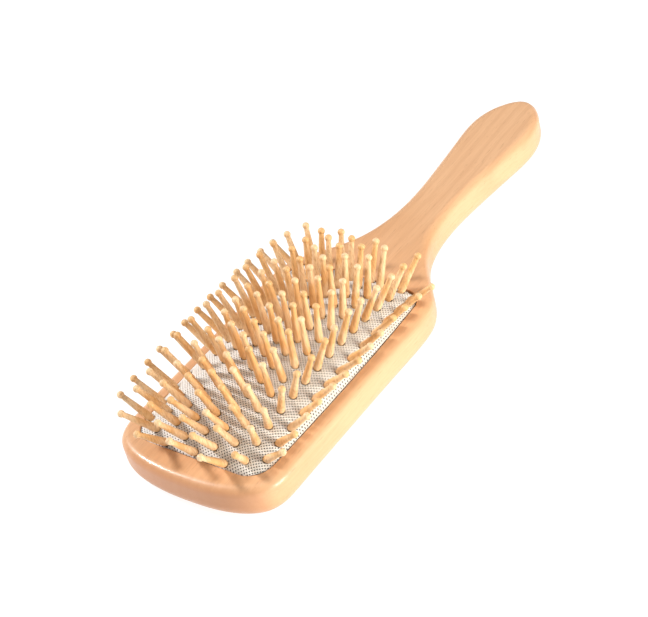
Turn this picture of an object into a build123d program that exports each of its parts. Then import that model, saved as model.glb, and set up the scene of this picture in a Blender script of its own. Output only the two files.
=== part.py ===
from build123d import *
import math
import os

# Paddle brush lying on its flat back, in millimetres.
# +Z is up through the pins, +Y runs from the front of the head to the end of the handle.
# "along" positions are measured from the front edge of the head and shifted by MID_Y, so that
# the origin is under the middle of the whole brush, splayed pin tips included.

# ---- wooden body ----
LENGTH = 250.0
THICKNESS = 14.8
TOP_EDGE_RADIUS = 3.6
BACK_EDGE_RADIUS = 6.0
# right half of the outline, front to end: (half width, distance from the front edge)
HALF_OUTLINE = [
    (12.0, 0.55), (21.0, 2.1), (29.0, 5.2), (34.3, 9.6), (36.9, 15.5), (37.45, 24.0),
    (37.3, 45.0), (37.2, 70.0), (37.35, 95.0), (37.2, 109.0), (36.1, 116.5), (33.3, 122.6),
    (28.4, 128.7), (22.6, 135.4), (17.9, 141.9), (14.7, 148.6), (12.4, 156.5), (11.0, 166.0),
    (10.7, 176.0), (11.3, 187.0), (12.4, 198.0), (13.8, 211.0), (14.9, 221.5), (14.9, 229.0),
    (13.6, 235.6), (11.6, 240.4), (8.9, 244.4), (5.0, 248.2),
]

# ---- recess for the cushion ----
RECESS_FRONT = 11.2
RECESS_BACK = 121.2
RECESS_HALF_WIDTH = 30.1
RECESS_BOW = 1.3
RECESS_FRONT_RADIUS = 9.6
RECESS_BACK_RADIUS = 8.4
RECESS_DEPTH = 9.0
RIM_EASE = 0.5
GROOVE_DEPTH = 2.0
GROOVE_TOP = THICKNESS - 3.0
GROOVE_HEIGHT = 2.2

# ---- domed cushion: fabric laminated on a rubber diaphragm ----
DOME_CENTRE = (RECESS_FRONT + RECESS_BACK) / 2
DOME_HALF_WIDTH = 31.6
DOME_HALF_LENGTH = 55.6
DOME_RISE = 12.5
DOME_SPRING = THICKNESS - 2.5
FABRIC_THICKNESS = 0.45
RUBBER_THICKNESS = 1.0
SIDE_WALL = 0.7
LAMINATE_GAP = 0.02
EDGE_GAP = 0.15
BEAD_GAP = 0.1
BEAD_WIDTH = 3.6
PATCH_ANGLE = 86.0
PATCH_STEPS = 12

# ---- pins ----
PIN_PITCH = 7.85
COLUMN_X = (0.0, 6.9, 13.8, 20.9, 27.4)
COLUMN_LEAN = (0.0, 3.0, 7.0, 24.0, 47.0)
FRONT_LEAN = 38.0
BACK_LEAN = 27.0
EDGE_END_LEAN = 12.0
LEAN_POWER = 1.5
SCATTER = 2.5
FIRST_PIN = {"even": 12.9, "odd": 16.6}
PINS_PER_COLUMN = 14
OUTER_COLUMN = 4
BALL_HEIGHT = 16.9
EDGE_BALL_HEIGHT = 14.4
BALL_RADIUS = 1.42
NECK_RADIUS = 1.0
BELLY_RADIUS = 1.6
BELLY_HEIGHT = 0.9
SHANK_RADIUS = 1.2
HEAD_RADIUS = 1.9
HEAD_TOP = -3.4
HEAD_THICKNESS = 0.9
PIN_CLEARANCE = 0.05


def dome_height(x, along):
    """Height of the fabric's outer face above the dome's springing level."""
    across = 1 - (x / DOME_HALF_WIDTH) ** 2
    lengthwise = 1 - ((along - DOME_CENTRE) / DOME_HALF_LENGTH) ** 2
    return DOME_RISE * math.sqrt(across * lengthwise)


def pin_along(column, index):
    """Distance of a pin's foot from the front edge; odd columns are set half a pitch on."""
    start = FIRST_PIN["odd"] if column % 2 else FIRST_PIN["even"]
    return start + index * PIN_PITCH


def pin_axis(column, index):
    """Unit direction of a pin: it fans outwards with its column and with its place along."""
    row = abs(column)
    share = (pin_along(column, index) - DOME_CENTRE) / (RECESS_BACK - DOME_CENTRE)
    end_lean = BACK_LEAN if share > 0 else FRONT_LEAN
    if row == OUTER_COLUMN:
        end_lean = EDGE_END_LEAN
    lean_x = COLUMN_LEAN[row] + SCATTER * math.sin(5.3 * index + 2.1 * row)
    lean_y = math.copysign(end_lean * abs(share) ** LEAN_POWER, share)
    lean_y += SCATTER * math.cos(3.7 * index + 4.9 * row)
    sideways = math.copysign(math.tan(math.radians(lean_x)), column)
    return Vector(sideways, math.tan(math.radians(lean_y)), 1).normalized()


# front of the whole brush: the head's edge, unless a splayed ball reaches past it
FRONT_TIP = min(
    [0]
    + [
        pin_along(column, 0) + BALL_HEIGHT * pin_axis(column, 0).Y - BALL_RADIUS
        for column in range(1 - OUTER_COLUMN, OUTER_COLUMN)
    ]
)
MID_Y = (FRONT_TIP + LENGTH) / 2


def shifted(points):
    return [(x, along - MID_Y) for x, along in points]


def pin_plane(column, index):
    """Plane at a pin's foot on the fabric, with its normal along the pin."""
    along = pin_along(column, index)
    x = math.copysign(COLUMN_X[abs(column)], column)
    foot = Vector(x, along - MID_Y, DOME_SPRING + dome_height(x, along))
    return Plane(origin=foot, x_dir=(0, 1, 0), z_dir=pin_axis(column, index))


def dome_patch(half_width, half_length, rise, level):
    """Domed sheet spanning a little more than the recess."""
    angles = [
        math.radians(PATCH_ANGLE * (2 * step / PATCH_STEPS - 1))
        for step in range(PATCH_STEPS + 1)
    ]
    rows = [
        [
            Vector(
                half_width * math.sin(across),
                DOME_CENTRE - MID_Y + half_length * math.sin(lengthwise),
                level + rise * math.cos(across) * math.cos(lengthwise),
            )
            for across in angles
        ]
        for lengthwise in angles
    ]
    return Face.make_surface_from_array_of_points(rows, tol=0.002)


def under(patch):
    """Everything below a dome patch, down past the floor of the recess."""
    return Solid.extrude(patch, Vector(0, 0, -LENGTH / 4))


def turned_pin(ball_height):
    """Pin standing on the origin: flat head under the rubber, shank, swelling, neck and ball."""
    neck_height = ball_height - math.sqrt(BALL_RADIUS**2 - NECK_RADIUS**2)
    with BuildPart() as turned:
        with BuildSketch(Plane.XZ):
            with BuildLine():
                Polyline(
                    (0, ball_height + BALL_RADIUS),
                    (0, HEAD_TOP - HEAD_THICKNESS),
                    (HEAD_RADIUS, HEAD_TOP - HEAD_THICKNESS),
                    (HEAD_RADIUS, HEAD_TOP),
                    (SHANK_RADIUS, HEAD_TOP),
                    (SHANK_RADIUS, 0),
                    (BELLY_RADIUS, BELLY_HEIGHT),
                    (NECK_RADIUS, neck_height),
                )
                ThreePointArc(
                    (NECK_RADIUS, neck_height),
                    (BALL_RADIUS, ball_height),
                    (0, ball_height + BALL_RADIUS),
                )
            make_face()
        revolve(axis=Axis.Z)
    return turned.part


# ---- the recess outline, shared by the body, the rubber and the fabric ----
front_corner, front_right, back_right, back_corner = shifted([
    (-RECESS_HALF_WIDTH, RECESS_FRONT),
    (RECESS_HALF_WIDTH, RECESS_FRONT),
    (RECESS_HALF_WIDTH, RECESS_BACK),
    (-RECESS_HALF_WIDTH, RECESS_BACK),
])
side_middle = DOME_CENTRE - MID_Y
with BuildSketch() as recess_outline:
    with BuildLine():
        Line(front_corner, front_right)
        ThreePointArc(front_right, (RECESS_HALF_WIDTH + RECESS_BOW, side_middle), back_right)
        Line(back_right, back_corner)
        ThreePointArc(back_corner, (-RECESS_HALF_WIDTH - RECESS_BOW, side_middle), front_corner)
    make_face()
    fillet(recess_outline.vertices().group_by(Axis.Y)[0], RECESS_FRONT_RADIUS)
    fillet(recess_outline.vertices().group_by(Axis.Y)[-1], RECESS_BACK_RADIUS)

# ---- paddle body: head and handle in one piece of wood ----
left_half = [(-x, along) for x, along in reversed(HALF_OUTLINE)]
outline = shifted([(0, 0)] + HALF_OUTLINE + [(0, LENGTH)] + left_half)
with BuildPart() as paddle_body:
    with BuildSketch() as body_outline:
        with BuildLine():
            Spline(*outline, periodic=True)
        make_face()
    extrude(amount=THICKNESS)
    fillet(paddle_body.faces().sort_by(Axis.Z)[0].edges(), BACK_EDGE_RADIUS)
    fillet(paddle_body.faces().sort_by(Axis.Z)[-1].edges(), TOP_EDGE_RADIUS)
    with BuildSketch(Plane.XY.offset(THICKNESS)):
        add(recess_outline.sketch)
    extrude(amount=-RECESS_DEPTH, mode=Mode.SUBTRACT)
    top_face = paddle_body.faces().filter_by(Axis.Z).group_by(Axis.Z)[-1][0]
    fillet(top_face.inner_wires()[0].edges(), RIM_EASE)
    with BuildSketch(Plane.XY.offset(GROOVE_TOP - GROOVE_HEIGHT)):
        offset(recess_outline.sketch, amount=GROOVE_DEPTH)
    extrude(amount=GROOVE_HEIGHT, mode=Mode.SUBTRACT)
paddle_body.part.label = "paddle body"

# ---- pins: one turned piece each ----
inner_pin = turned_pin(BALL_HEIGHT)
edge_pin = turned_pin(EDGE_BALL_HEIGHT)

# round hole that one pin needs in the two sheets
with BuildPart() as pin_hole:
    with BuildSketch(Plane.XY.offset(HEAD_TOP + PIN_CLEARANCE)):
        Circle(BELLY_RADIUS + PIN_CLEARANCE)
    extrude(amount=2 * abs(HEAD_TOP))

# ---- which pins move together ----
inner_columns = range(1 - OUTER_COLUMN, OUTER_COLUMN)
last_index = PINS_PER_COLUMN - 1
half_way = PINS_PER_COLUMN // 2
pin_groups = {
    "pins_front_row": [(column, 0) for column in inner_columns],
    "pins_back_row": [(column, last_index) for column in inner_columns],
    "pins_left_edge": [(-OUTER_COLUMN, index) for index in range(1, PINS_PER_COLUMN)],
    "pins_right_edge": [(OUTER_COLUMN, index) for index in range(1, PINS_PER_COLUMN)],
}
for number, column in enumerate(inner_columns, start=1):
    pin_groups[f"pins_column_{number}_front"] = [(column, k) for k in range(1, half_way)]
    pin_groups[f"pins_column_{number}_back"] = [(column, k) for k in range(half_way, last_index)]
all_pins = [place for places in pin_groups.values() for place in places]
pin_holes = [pin_plane(*place).location * pin_hole.part for place in all_pins]

# ---- rubber diaphragm: domed sheet with a bead held in the groove ----
fabric_base = DOME_SPRING - FABRIC_THICKNESS
outer_patch = dome_patch(DOME_HALF_WIDTH, DOME_HALF_LENGTH, DOME_RISE, fabric_base)
inner_patch = dome_patch(
    DOME_HALF_WIDTH - SIDE_WALL,
    DOME_HALF_LENGTH - SIDE_WALL,
    DOME_RISE,
    fabric_base - RUBBER_THICKNESS,
)
bead_bottom = GROOVE_TOP - GROOVE_HEIGHT + BEAD_GAP
bead_top = GROOVE_TOP - BEAD_GAP
with BuildPart() as air_space:
    with BuildSketch(Plane.XY.offset(bead_bottom)):
        offset(recess_outline.sketch, amount=GROOVE_DEPTH - BEAD_WIDTH)
    extrude(amount=LENGTH / 8)
    add(under(inner_patch), mode=Mode.INTERSECT)

with BuildPart() as cushion_rubber:
    with BuildSketch(Plane.XY.offset(bead_bottom)):
        offset(recess_outline.sketch, amount=-EDGE_GAP)
    extrude(amount=LENGTH / 8)
    add(under(outer_patch), mode=Mode.INTERSECT)
    with BuildSketch(Plane.XY.offset(bead_bottom)):
        offset(recess_outline.sketch, amount=GROOVE_DEPTH - EDGE_GAP)
    extrude(amount=bead_top - bead_bottom)
    add(air_space.part, mode=Mode.SUBTRACT)
    add(pin_holes, mode=Mode.SUBTRACT)
cushion_rubber.part.label = "cushion rubber"

# ---- woven fabric face ----
with BuildPart() as cushion_fabric:
    with BuildSketch(Plane.XY.offset(bead_top)):
        offset(recess_outline.sketch, amount=-EDGE_GAP)
    extrude(amount=LENGTH / 8)
    add(
        under(dome_patch(DOME_HALF_WIDTH, DOME_HALF_LENGTH, DOME_RISE, DOME_SPRING)),
        mode=Mode.INTERSECT,
    )
    add(under(outer_patch.moved(Location((0, 0, LAMINATE_GAP)))), mode=Mode.SUBTRACT)
    add(pin_holes, mode=Mode.SUBTRACT)
cushion_fabric.part.label = "cushion fabric"

# ---- files ----
os.makedirs("parts", exist_ok=True)
export_step(paddle_body.part, "parts/paddle_body.step")
export_step(cushion_rubber.part, "parts/cushion_rubber.step")
export_step(cushion_fabric.part, "parts/cushion_fabric.step")
for group_name, places in pin_groups.items():
    pin = edge_pin if abs(places[0][0]) == OUTER_COLUMN else inner_pin
    with BuildPart() as pin_group:
        for place in places:
            with Locations(pin_plane(*place).location):
                add(pin)
    pin_group.part.label = group_name.replace("_", " ")
    export_step(pin_group.part, f"parts/{group_name}.step")
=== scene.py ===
import math

import bpy
import numpy as np
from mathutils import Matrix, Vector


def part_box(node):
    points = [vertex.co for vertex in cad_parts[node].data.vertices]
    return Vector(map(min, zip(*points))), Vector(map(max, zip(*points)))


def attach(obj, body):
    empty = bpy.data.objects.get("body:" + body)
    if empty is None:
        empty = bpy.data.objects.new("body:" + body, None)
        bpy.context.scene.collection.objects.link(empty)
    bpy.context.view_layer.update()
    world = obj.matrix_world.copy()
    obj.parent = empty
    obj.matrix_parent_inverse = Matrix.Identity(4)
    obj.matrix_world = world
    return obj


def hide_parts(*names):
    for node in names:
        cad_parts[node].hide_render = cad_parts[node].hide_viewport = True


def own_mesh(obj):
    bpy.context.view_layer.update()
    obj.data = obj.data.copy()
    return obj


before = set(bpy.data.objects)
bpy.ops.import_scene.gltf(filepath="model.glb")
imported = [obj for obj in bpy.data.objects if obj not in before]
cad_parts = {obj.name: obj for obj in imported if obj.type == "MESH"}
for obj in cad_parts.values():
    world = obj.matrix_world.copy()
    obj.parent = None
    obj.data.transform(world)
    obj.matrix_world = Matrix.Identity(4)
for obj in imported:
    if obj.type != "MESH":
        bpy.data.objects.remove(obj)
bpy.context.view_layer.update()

# Paddle brush on its flat back. +Z is up through the pins, +Y runs towards the handle's end, and the
# origin is under the middle of the brush. Lengths are in metres, and a figure in millimetres is
# multiplied by MM. Leans, turns and directions are in degrees.
MM = 0.001
paddle_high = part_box("paddle_body")[1]
BRUSH_LENGTH = 250 * MM
HEAD_FRONT = paddle_high.y - BRUSH_LENGTH
RIM_TOP = paddle_high.z

# ---- recess in the wood, and the dome that fills it ----
RECESS_FRONT = HEAD_FRONT + 11.2 * MM
RECESS_BACK = HEAD_FRONT + 121.2 * MM
RECESS_MIDDLE = (RECESS_FRONT + RECESS_BACK) / 2
RECESS_HALF_LENGTH = (RECESS_BACK - RECESS_FRONT) / 2
RECESS_HALF_WIDTH = 30.1 * MM
RECESS_BOW = 1.3 * MM
FRONT_RADIUS = 9.6 * MM
BACK_RADIUS = 8.4 * MM
DOME_HALF_WIDTH = 31.6 * MM
DOME_HALF_LENGTH = 55.6 * MM
DOME_RISE = 12.5 * MM
DOME_SPRING = RIM_TOP - 2.5 * MM
DOME_CROWN = DOME_SPRING + DOME_RISE
GROOVE_TOP = RIM_TOP - 3.0 * MM
GROOVE_BOTTOM = GROOVE_TOP - 2.2 * MM

# ---- pins: nine columns, from -4 at the left to 4 at the right, staggered along Y ----
PINS_PER_COLUMN = 14
OUTER_COLUMN = 4
PIN_PITCH = 7.85 * MM
FIRST_EVEN = HEAD_FRONT + 12.9 * MM
FIRST_ODD = HEAD_FRONT + 16.6 * MM
COLUMN_X = [x * MM for x in (0.0, 6.9, 13.8, 20.9, 27.4)]
SHANK_RADIUS = 1.2 * MM

# A pin leans sideways with its column and along Y with its place, plus a small regular scatter.
COLUMN_LEAN = (0.0, 3.0, 7.0, 24.0, 47.0)
FRONT_LEAN = 38.0
BACK_LEAN = 27.0
EDGE_END_LEAN = 12.0
LEAN_POWER = 1.5
SCATTER = 2.5

# How far the scatter's sine or cosine turns, in radians, from pin to pin and from column to column.
SIDEWAYS_SCATTER_STEPS = (5.3, 2.1)
LENGTHWISE_SCATTER_STEPS = (3.7, 4.9)


# ---------------------------------------------------------------- shapes shared by the soft pieces
def edge_distance(x, y):
    """How far points lie outside the recess outline; inside it the distance is negative."""
    along = (y - RECESS_MIDDLE) / RECESS_HALF_LENGTH
    side = RECESS_HALF_WIDTH + RECESS_BOW * (1 - along**2)
    radius = np.where(y < RECESS_MIDDLE, FRONT_RADIUS, BACK_RADIUS)
    across = np.abs(x) - side + radius
    lengthwise = np.abs(y - RECESS_MIDDLE) - RECESS_HALF_LENGTH + radius
    corner = np.hypot(np.maximum(across, 0), np.maximum(lengthwise, 0))
    return corner + np.minimum(np.maximum(across, lengthwise), 0) - radius


def dome_height(x, y):
    """Height of the fabric's outer face."""
    across = 1 - (x / DOME_HALF_WIDTH) ** 2
    lengthwise = 1 - ((y - RECESS_MIDDLE) / DOME_HALF_LENGTH) ** 2
    return DOME_SPRING + DOME_RISE * np.sqrt(np.clip(across * lengthwise, 0, None))


def pin_direction(column, index, y):
    """Unit direction of a pin: it fans outwards with its column and with its place along Y."""
    row = abs(column)
    share = (y - RECESS_MIDDLE) / RECESS_HALF_LENGTH
    end_lean = BACK_LEAN if share > 0 else FRONT_LEAN
    if row == OUTER_COLUMN:
        end_lean = EDGE_END_LEAN
    index_step, row_step = SIDEWAYS_SCATTER_STEPS
    lean_x = COLUMN_LEAN[row] + SCATTER * math.sin(index_step * index + row_step * row)
    index_step, row_step = LENGTHWISE_SCATTER_STEPS
    lean_y = math.copysign(end_lean * abs(share) ** LEAN_POWER, share)
    lean_y += SCATTER * math.cos(index_step * index + row_step * row)
    sideways = math.copysign(math.tan(math.radians(lean_x)), column)
    direction = np.array((sideways, math.tan(math.radians(lean_y)), 1.0))
    return direction / np.linalg.norm(direction)


def pin_feet():
    """Foot and direction of every pin, as two arrays."""
    feet, directions = [], []
    for column in range(-OUTER_COLUMN, OUTER_COLUMN + 1):
        first = FIRST_ODD if column % 2 else FIRST_EVEN
        skip = 1 if abs(column) == OUTER_COLUMN else 0
        x = math.copysign(COLUMN_X[abs(column)], column)
        for index in range(skip, PINS_PER_COLUMN):
            y = first + index * PIN_PITCH
            feet.append((x, y, float(dome_height(x, y))))
            directions.append(pin_direction(column, index, y))
    return np.array(feet), np.array(directions)


FEET, DIRECTIONS = pin_feet()


def mesh_piece(name, vertices, faces, smooth=True):
    """Mesh object in the scene, made from points and the faces between them."""
    mesh = bpy.data.meshes.new(name)
    mesh.from_pydata([tuple(v) for v in vertices], [], [tuple(f) for f in faces])
    mesh.validate()
    mesh.update()
    if smooth:
        mesh.shade_smooth()
    piece = bpy.data.objects.new(name, mesh)
    bpy.context.scene.collection.objects.link(piece)
    return piece


# ---------------------------------------------------------------- node helpers
class Material:
    """A procedural material with a Principled shader and object coordinates."""

    def __init__(self, name):
        self.material = bpy.data.materials.new(name)
        self.material.use_nodes = True
        self.tree = self.material.node_tree
        self.shader = self.tree.nodes["Principled BSDF"]
        places = self.add("ShaderNodeTexCoord").outputs
        self.coordinates = places["Object"]
        self.normal = places["Normal"]

    def add(self, kind, inputs=None, **settings):
        """New node with its inputs, by socket, and its settings, by attribute."""
        node = self.tree.nodes.new(kind)
        for key, value in settings.items():
            setattr(node, key, value)
        for key, value in (inputs or {}).items():
            self.set(node.inputs[key], value)
        return node

    def set(self, socket, value):
        """Links a socket to another one, or gives it a plain value."""
        if isinstance(value, bpy.types.NodeSocket):
            self.tree.links.new(value, socket)
        else:
            socket.default_value = value

    def stretched(self, scale):
        return self.add("ShaderNodeMapping", {"Vector": self.coordinates, "Scale": scale}).outputs[0]

    def noise(self, vector, scale, detail, roughness=0.5):
        return self.add(
            "ShaderNodeTexNoise",
            {"Vector": vector, "Scale": scale, "Detail": detail, "Roughness": roughness},
        ).outputs["Fac"]

    def remap(self, value, low, high, out_low=0.0, out_high=1.0):
        return self.add(
            "ShaderNodeMapRange",
            {0: value, 1: low, 2: high, 3: out_low, 4: out_high},
            interpolation_type="SMOOTHSTEP",
        ).outputs[0]

    def math(self, operation, first, second=0.0):
        return self.add("ShaderNodeMath", {0: first, 1: second}, operation=operation).outputs[0]

    def mix(self, factor, first, second):
        return self.add("ShaderNodeMix", {0: factor, 6: first, 7: second}, data_type="RGBA").outputs[2]

    def bump(self, height, distance, strength):
        inputs = {"Height": height, "Distance": distance, "Strength": strength}
        return self.add("ShaderNodeBump", inputs).outputs[0]

    def finish(self, **inputs):
        """Sets the shader's inputs, with underscores for the spaces in their names."""
        for key, value in inputs.items():
            self.set(self.shader.inputs[key.replace("_", " ")], value)
        return self.material


# ---------------------------------------------------------------- materials
def rgb(red, green, blue):
    return (red, green, blue, 1.0)


WHITE = rgb(1, 1, 1)
FLOOR_GREY = rgb(0.22, 0.22, 0.22)
WOOD_TAN = rgb(0.70, 0.370, 0.180)
WOOD_PALE = rgb(0.79, 0.460, 0.250)
WOOD_RING = rgb(0.60, 0.30, 0.15)
WOOD_FIBRE = rgb(0.56, 0.29, 0.14)
WOOD_PORE = rgb(0.38, 0.18, 0.08)
# Colour of the ends of the wood: darker end grain, with painted shade mixed in.
WOOD_END_GRAIN_AND_SHADE = rgb(0.66, 0.28, 0.125)
PIN_PALE = rgb(0.93, 0.67, 0.40)
PIN_ORANGE = rgb(0.84, 0.50, 0.215)
PIN_FIBRE = rgb(0.56, 0.27, 0.09)
YARN_SHADE = rgb(0.78, 0.75, 0.70)
YARN_WHITE = rgb(0.90, 0.88, 0.845)
YARN_SLUB = rgb(0.66, 0.62, 0.57)
YARN_CLOUD = rgb(0.70, 0.66, 0.61)
RUBBER_BLACK = rgb(0.035, 0.031, 0.028)
RUBBER_BLOOM = rgb(0.060, 0.054, 0.049)
WOOD_RELIEF = 0.03 * MM
PIN_RELIEF = 0.02 * MM
YARN_RELIEF = 0.03 * MM
RUBBER_RELIEF = 0.02 * MM


def varnished_wood():
    """Pale satin beech: rings and fibres along Y, with short pores, and darker end grain that also
    carries painted shade.
    """
    m = Material("varnished_wood")
    warp = m.noise(m.stretched((1, 0.25, 1)), 14, 2)
    sway = m.add("ShaderNodeCombineXYZ", {"X": m.math("MULTIPLY", warp, 0.035)}).outputs[0]
    straight = m.stretched((1, 0.10, 0.9))
    bent = m.add("ShaderNodeVectorMath", {0: straight, 1: sway}, operation="ADD").outputs[0]
    rings = m.add(
        "ShaderNodeTexWave",
        {"Vector": bent, "Scale": 62, "Distortion": 1.6, "Detail": 2.0, "Detail Scale": 9},
        wave_type="BANDS",
        bands_direction="X",
    ).outputs["Fac"]
    fibres = m.noise(m.stretched((1, 0.035, 1)), 1500, 5, 0.65)
    pores = m.noise(m.stretched((1, 0.05, 1)), 3200, 2, 0.5)
    mottle = m.noise(m.stretched((1, 0.35, 1)), 38, 3, 0.55)
    base = m.mix(m.remap(mottle, 0.3, 0.7), WOOD_TAN, WOOD_PALE)
    ringed = m.mix(m.math("MULTIPLY", m.remap(rings, 0.45, 1.0), 0.20), base, WOOD_RING)
    streaked = m.mix(m.remap(fibres, 0.42, 0.62, 0.0, 0.15), ringed, WOOD_FIBRE)
    pored = m.mix(m.remap(pores, 0.63, 0.74, 0.0, 0.45), streaked, WOOD_PORE)
    # Faces turned towards ±Y get a darker, more orange colour: partly end grain, partly painted shade
    # on the ends of the brush.
    towards_end = m.add("ShaderNodeSeparateXYZ", {0: m.normal}).outputs["Y"]
    end_grain_and_shade = m.math("MULTIPLY", m.math("POWER", m.math("ABSOLUTE", towards_end), 2.0), 0.8)
    ended_and_shaded = m.mix(end_grain_and_shade, pored, WOOD_END_GRAIN_AND_SHADE)
    height = m.math("SUBTRACT", m.math("MULTIPLY", fibres, 0.5), m.remap(pores, 0.63, 0.74, 0.0, 0.6))
    return m.finish(
        Base_Color=ended_and_shaded,
        Roughness=m.remap(fibres, 0.3, 0.7, 0.34, 0.46),
        Coat_Weight=0.22,
        Coat_Roughness=0.14,
        Normal=m.bump(height, WOOD_RELIEF, 0.5),
    )


def turned_wood():
    """Small turned pins: paler and more orange ones, fine turning marks, fibres along the pin."""
    m = Material("turned_wood")
    tone = m.noise(m.coordinates, 95, 1, 0.4)
    fibres = m.noise(m.stretched((1, 1, 0.08)), 1700, 3, 0.6)
    turning = m.noise(m.stretched((0.2, 0.2, 1)), 5200, 1)
    pale_to_orange = m.mix(m.remap(tone, 0.38, 0.62), PIN_PALE, PIN_ORANGE)
    streaked = m.mix(m.remap(fibres, 0.44, 0.64, 0.0, 0.46), pale_to_orange, PIN_FIBRE)
    height = m.math("ADD", m.math("MULTIPLY", turning, 0.6), m.math("MULTIPLY", fibres, 0.4))
    return m.finish(
        Base_Color=streaked,
        Roughness=m.remap(fibres, 0.3, 0.7, 0.42, 0.55),
        Normal=m.bump(height, PIN_RELIEF, 0.5),
    )


def woven_fabric():
    """Off-white polyester yarn with a soft sheen."""
    m = Material("woven_fabric")
    fibres = m.noise(m.coordinates, 9000, 3, 0.6)
    slubs = m.noise(m.coordinates, 420, 2)
    clouding = m.noise(m.coordinates, 45, 2)
    yarn = m.mix(m.remap(fibres, 0.35, 0.65), YARN_SHADE, YARN_WHITE)
    toned = m.mix(m.remap(slubs, 0.45, 0.7, 0.0, 0.30), yarn, YARN_SLUB)
    worn = m.mix(m.remap(clouding, 0.4, 0.7, 0.0, 0.15), toned, YARN_CLOUD)
    return m.finish(
        Base_Color=worn,
        Roughness=m.remap(fibres, 0.3, 0.7, 0.66, 0.85),
        Sheen_Weight=0.25,
        Sheen_Roughness=0.5,
        Normal=m.bump(fibres, YARN_RELIEF, 0.6),
    )


def soft_rubber():
    """Dark grey moulded rubber with a fine matt texture."""
    m = Material("soft_rubber")
    grain = m.noise(m.coordinates, 3500, 3, 0.6)
    bloom = m.noise(m.coordinates, 60, 3)
    dark = m.mix(m.remap(bloom, 0.4, 0.7), RUBBER_BLACK, RUBBER_BLOOM)
    return m.finish(
        Base_Color=dark,
        Roughness=m.remap(grain, 0.3, 0.7, 0.55, 0.75),
        Normal=m.bump(grain, RUBBER_RELIEF, 0.5),
    )


def give(piece, material):
    """Puts the material in every slot of a piece."""
    if not piece.material_slots:
        piece.data.materials.append(material)
    for place in piece.material_slots:
        place.material = material


# ---------------------------------------------------------------- camera, floor and light
CAMERA_PLACE = (409.5 * MM, HEAD_FRONT - 320.3 * MM, 479.7 * MM)
CAMERA_TURN = (50.740, 11.518, 35.225)
FOCAL_LENGTH_MM = 107.04
SENSOR_WIDTH_MM = 36
CLIP_START = 0.01
CLIP_END = 20
FLOOR_HALF = 4.0
FLOOR_DROP = 0.05 * MM
FLOOR_GLOW = 0.90
SKY_STRENGTH = 0.34

camera = bpy.data.objects.new("camera", bpy.data.cameras.new("camera"))
camera.data.lens = FOCAL_LENGTH_MM
camera.data.sensor_width = SENSOR_WIDTH_MM
camera.data.clip_start = CLIP_START
camera.data.clip_end = CLIP_END
camera.location = CAMERA_PLACE
camera.rotation_euler = [math.radians(angle) for angle in CAMERA_TURN]
bpy.context.scene.collection.objects.link(camera)
bpy.context.scene.camera = camera


def studio_floor():
    """Plain white floor. Most of its white is its own light, so that shadows on it stay faint."""
    half = FLOOR_HALF
    corners = [(-half, -half, 0), (half, -half, 0), (half, half, 0), (-half, half, 0)]
    floor = mesh_piece("floor", corners, [(0, 1, 2, 3)], smooth=False)
    floor.location.z = -FLOOR_DROP
    white = Material("floor_white").finish(
        Base_Color=FLOOR_GREY,
        Roughness=0.9,
        Specular_IOR_Level=0.0,
        Emission_Color=WHITE,
        Emission_Strength=FLOOR_GLOW,
    )
    give(floor, white)


def area_light(name, place, power, size, color=(1, 1, 1)):
    """Square lamp that looks at the origin, which is the middle of the brush."""
    light = bpy.data.lights.new(name, "AREA")
    light.energy = power
    light.size = size
    light.color = color
    lamp = bpy.data.objects.new(name, light)
    lamp.location = place
    lamp.rotation_mode = "QUATERNION"
    lamp.rotation_quaternion = (-lamp.location).to_track_quat("-Z", "Y")
    bpy.context.scene.collection.objects.link(lamp)


studio_floor()
area_light("key", place=(-0.75, -0.25, 0.80), power=10.5, size=0.16)
area_light("side", place=(1.05, 0.05, 0.18), power=16.0, size=0.50, color=(1.0, 0.975, 0.88))
area_light("top", place=(0.1, 0.2, 1.3), power=1.5, size=0.9)
world = bpy.data.worlds.new("studio")
world.use_nodes = True
sky = world.node_tree.nodes["Background"]
sky.inputs["Color"].default_value = WHITE
sky.inputs["Strength"].default_value = SKY_STRENGTH
bpy.context.scene.world = world
bpy.context.scene.view_settings.view_transform = "Standard"


# ---------------------------------------------------------------- wood
give(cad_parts["paddle_body"], varnished_wood())
pin_material = turned_wood()
for node_name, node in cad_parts.items():
    if node_name.startswith("pins_"):
        give(node, pin_material)


# ---------------------------------------------------------------- woven face of the cushion
# Each of the two sets of yarns has a pitch and the direction across its yarns. In yarn units, u and v
# are whole numbers on the middles of the yarns.
WEAVE_PITCH = (0.97 * MM, 1.08 * MM)
WEAVE_ANGLE = (42.0, 130.5)
LINES_PER_YARN = 3
YARN_HALF_WIDTH = 0.26
YARN_CROWN = 0.085 * MM
YARN_ROUNDING = 1.6
CLOTH_THICKNESS = 0.24 * MM
CLOTH_INSET = 0.20 * MM
BACK_SHORTFALL = 0.90 * MM
SHORTFALL_POWER = 12
FAR_OUTSIDE = 2 * MM
PULL_STEPS = 4
SLOPE_STEP = 0.01 * MM
PIN_HOLE = SHANK_RADIUS + 0.35 * MM
PIN_REACH = 4 * PIN_HOLE
LEAST_DISTANCE = 1e-9
DIMPLE_DEPTH = 0.45 * MM
DIMPLE_WIDTH = 1.9 * MM


def weave_grid():
    """Points on the two edges and the middle of every yarn, in yarn units, over the whole recess."""
    reach = math.hypot(RECESS_HALF_WIDTH + RECESS_BOW, RECESS_HALF_LENGTH)
    axes = []
    for pitch in WEAVE_PITCH:
        count = int(reach / pitch) + 2
        yarns = np.arange(-count, count + 1)
        axes.append((yarns[:, None] + np.array((-YARN_HALF_WIDTH, 0, YARN_HALF_WIDTH))).ravel())
    return np.meshgrid(axes[0], axes[1], indexing="ij")


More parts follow.
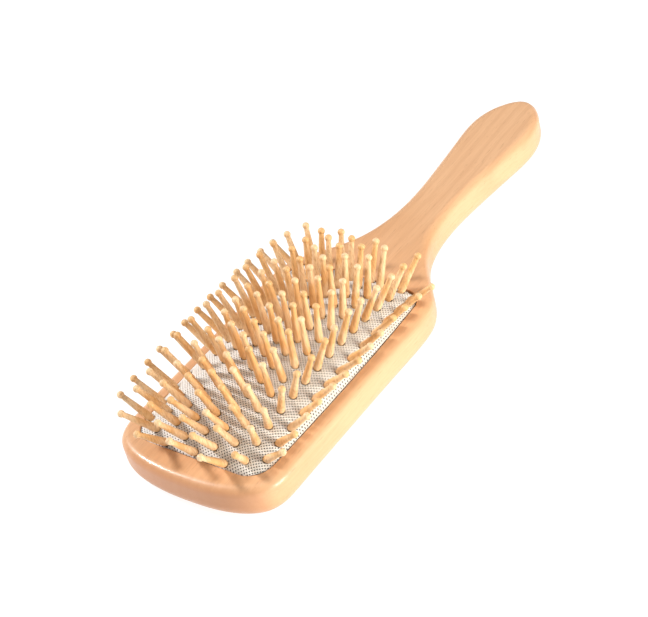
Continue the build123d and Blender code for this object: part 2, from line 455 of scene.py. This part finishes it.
def weave_plan(u, v):
    """Where points in yarn units lie in x and y."""
    yarns_per_metre = [
        np.array((math.cos(math.radians(angle)), math.sin(math.radians(angle)))) / pitch
        for angle, pitch in zip(WEAVE_ANGLE, WEAVE_PITCH)
    ]
    x, y = np.linalg.inv(np.array(yarns_per_metre)) @ np.stack((u, v))
    return x, y + RECESS_MIDDLE


def weave_relief(u, v):
    """Height of a plain weave over its middle surface: at each crossing one yarn rides over."""
    i, j = np.round(u), np.round(v)
    side_up = np.where((i + j) % 2 == 0, 1.0, -1.0)
    first = side_up * np.cos(math.pi * (v - j)) - YARN_ROUNDING * (u - i) ** 2
    second = -side_up * np.cos(math.pi * (u - i)) - YARN_ROUNDING * (v - j) ** 2
    return YARN_CROWN * np.maximum(first, second)


def weave_quads(shape):
    """Faces between neighbouring points of the grid, apart from the gaps between the yarns."""
    index = np.arange(shape[0] * shape[1]).reshape(shape)
    quads = np.stack((index[:-1, :-1], index[1:, :-1], index[1:, 1:], index[:-1, 1:]), -1)
    between = [np.arange(count - 1) % LINES_PER_YARN == LINES_PER_YARN - 1 for count in shape]
    return quads[~np.logical_and.outer(*between)]


def beyond_cloth(x, y):
    """How far points lie outside the cloth's edge, which stops a little short at the back."""
    towards_back = np.clip((y - RECESS_MIDDLE) / RECESS_HALF_LENGTH, 0, 1)
    return edge_distance(x, y) + CLOTH_INSET + BACK_SHORTFALL * towards_back**SHORTFALL_POWER


def pull_inside(x, y):
    """Moves points that lie beyond the cloth's edge onto it, down the slope of the distance."""
    step = SLOPE_STEP
    for _ in range(PULL_STEPS):
        beyond = np.maximum(beyond_cloth(x, y), 0)
        slope_x = (edge_distance(x + step, y) - edge_distance(x - step, y)) / (2 * step)
        slope_y = (edge_distance(x, y + step) - edge_distance(x, y - step)) / (2 * step)
        x = x - beyond * slope_x
        y = y - beyond * slope_y
    return x, y


def part_round_pins(x, y, z):
    """Pushes points aside round each pin, dimples them there, and says which lay in a pin's hole."""
    inside = np.zeros(x.shape, bool)
    for foot, direction in zip(FEET, DIRECTIONS):
        near = np.nonzero(np.hypot(x - foot[0], y - foot[1]) < PIN_REACH)[0]
        offset = np.stack((x[near], y[near], z[near]), 1) - foot
        across = offset - np.outer(offset @ direction, direction)
        distance = np.linalg.norm(across, axis=1)
        push = np.maximum(PIN_HOLE - distance, 0) / np.maximum(distance, LEAST_DISTANCE)
        x[near] += across[:, 0] * push
        y[near] += across[:, 1] * push
        inside[near] |= distance < PIN_HOLE
        z[near] -= DIMPLE_DEPTH * np.exp(-((distance / DIMPLE_WIDTH) ** 2))
    return inside


def fabric_face():
    """Woven cloth stretched over the dome, cut to the recess and parted round every pin."""
    grid_u, grid_v = weave_grid()
    u, v = grid_u.ravel(), grid_v.ravel()
    x, y = weave_plan(u, v)
    outside = beyond_cloth(x, y) > 0
    far = edge_distance(x, y) > FAR_OUTSIDE
    # No face keeps a far point, so far points are parked in the middle.
    x[far], y[far] = 0.0, RECESS_MIDDLE
    x, y = pull_inside(x, y)
    z = dome_height(x, y) + weave_relief(u, v) - YARN_CROWN
    inside_pin = part_round_pins(x, y, z)

    quads = weave_quads(grid_u.shape)
    quads = quads[~(outside[quads].all(1) | far[quads].any(1) | inside_pin[quads].all(1))]
    used, renumbered = np.unique(quads, return_inverse=True)
    points = np.stack((x, y, z), 1)[used]
    piece = mesh_piece("woven_face", points, renumbered.reshape(-1, 4))
    thickness = piece.modifiers.new("cloth thickness", "SOLIDIFY")
    thickness.thickness = CLOTH_THICKNESS
    thickness.offset = -1
    give(piece, woven_fabric())
    return piece


# ---------------------------------------------------------------- rubber under the fabric
# The diaphragm is made of rings of points, RUBBER_TURNS to a ring. The rings over the dome are spaced
# by the sine of an angle that grows from FIRST_RING_RADIANS to a quarter turn.
RUBBER_TURNS = 240
RUBBER_RINGS = 34
FIRST_RING_RADIANS = 0.02
BISECTIONS = 40
FABRIC_LAYER = 0.55 * MM
RUBBER_THICKNESS = 1.0 * MM
SKIRT_OUTER_INSET = 0.25 * MM
SKIRT_INNER_INSET = 1.35 * MM
BEAD_REACH = 1.7 * MM
BEAD_GAP = 0.1 * MM
RUBBER_CROWN = DOME_CROWN - FABRIC_LAYER


def outline_points(outset):
    """Points on the recess outline moved outwards, at equal turns about its middle."""
    angles = np.linspace(0, 2 * math.pi, RUBBER_TURNS, endpoint=False)
    low, high = np.zeros(RUBBER_TURNS), np.full(RUBBER_TURNS, 2 * RECESS_HALF_LENGTH)
    for _ in range(BISECTIONS):
        middle = (low + high) / 2
        x, y = middle * np.cos(angles), RECESS_MIDDLE + middle * np.sin(angles)
        within = edge_distance(x, y) < outset
        low, high = np.where(within, middle, low), np.where(within, high, middle)
    return low * np.cos(angles), RECESS_MIDDLE + low * np.sin(angles)


def dome_rings(edge_x, edge_y, depth):
    """Rings of points from the crown out to an edge, at a depth under the fabric's outer face."""
    rings = []
    for share in np.sin(np.linspace(FIRST_RING_RADIANS, math.pi / 2, RUBBER_RINGS)):
        x, y = share * edge_x, RECESS_MIDDLE + share * (edge_y - RECESS_MIDDLE)
        rings.append((x, y, dome_height(x, y) - depth))
    return rings


def rubber_diaphragm():
    """Closed domed sheet with a skirt down into the recess and a bead out into the groove."""
    edge_x, edge_y = outline_points(-SKIRT_OUTER_INSET)
    inner_x, inner_y = outline_points(-SKIRT_INNER_INSET)
    bead_x, bead_y = outline_points(BEAD_REACH)
    bead_top = np.full(RUBBER_TURNS, GROOVE_TOP - BEAD_GAP)
    bead_bottom = np.full(RUBBER_TURNS, GROOVE_BOTTOM + BEAD_GAP)
    rings = dome_rings(edge_x, edge_y, FABRIC_LAYER)
    rings.append((edge_x, edge_y, bead_top))
    rings.append((bead_x, bead_y, bead_top))
    rings.append((bead_x, bead_y, bead_bottom))
    rings.append((inner_x, inner_y, bead_bottom))
    rings += dome_rings(inner_x, inner_y, FABRIC_LAYER + RUBBER_THICKNESS)[::-1]
    points = np.concatenate([np.stack(ring, 1) for ring in rings])

    crown = (0, RECESS_MIDDLE, RUBBER_CROWN)
    ceiling = (0, RECESS_MIDDLE, RUBBER_CROWN - RUBBER_THICKNESS)
    crown_at, ceiling_at = len(points), len(points) + 1
    last = len(points) - RUBBER_TURNS
    turns = [(turn, (turn + 1) % RUBBER_TURNS) for turn in range(RUBBER_TURNS)]
    faces = []
    for a in range(0, last, RUBBER_TURNS):
        b = a + RUBBER_TURNS
        faces += [(a + turn, b + turn, b + following, a + following) for turn, following in turns]
    faces += [(crown_at, turn, following) for turn, following in turns]
    faces += [(ceiling_at, last + following, last + turn) for turn, following in turns]
    piece = mesh_piece("rubber_diaphragm", [*points, crown, ceiling], faces)
    give(piece, soft_rubber())
    return piece


# ---------------------------------------------------------------- what the soft pieces are and do
woven_face = fabric_face()
diaphragm = rubber_diaphragm()
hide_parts("cushion_fabric")
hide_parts("cushion_rubber")
for soft_piece in (woven_face, diaphragm):
    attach(soft_piece, "cushion")
    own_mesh(soft_piece)
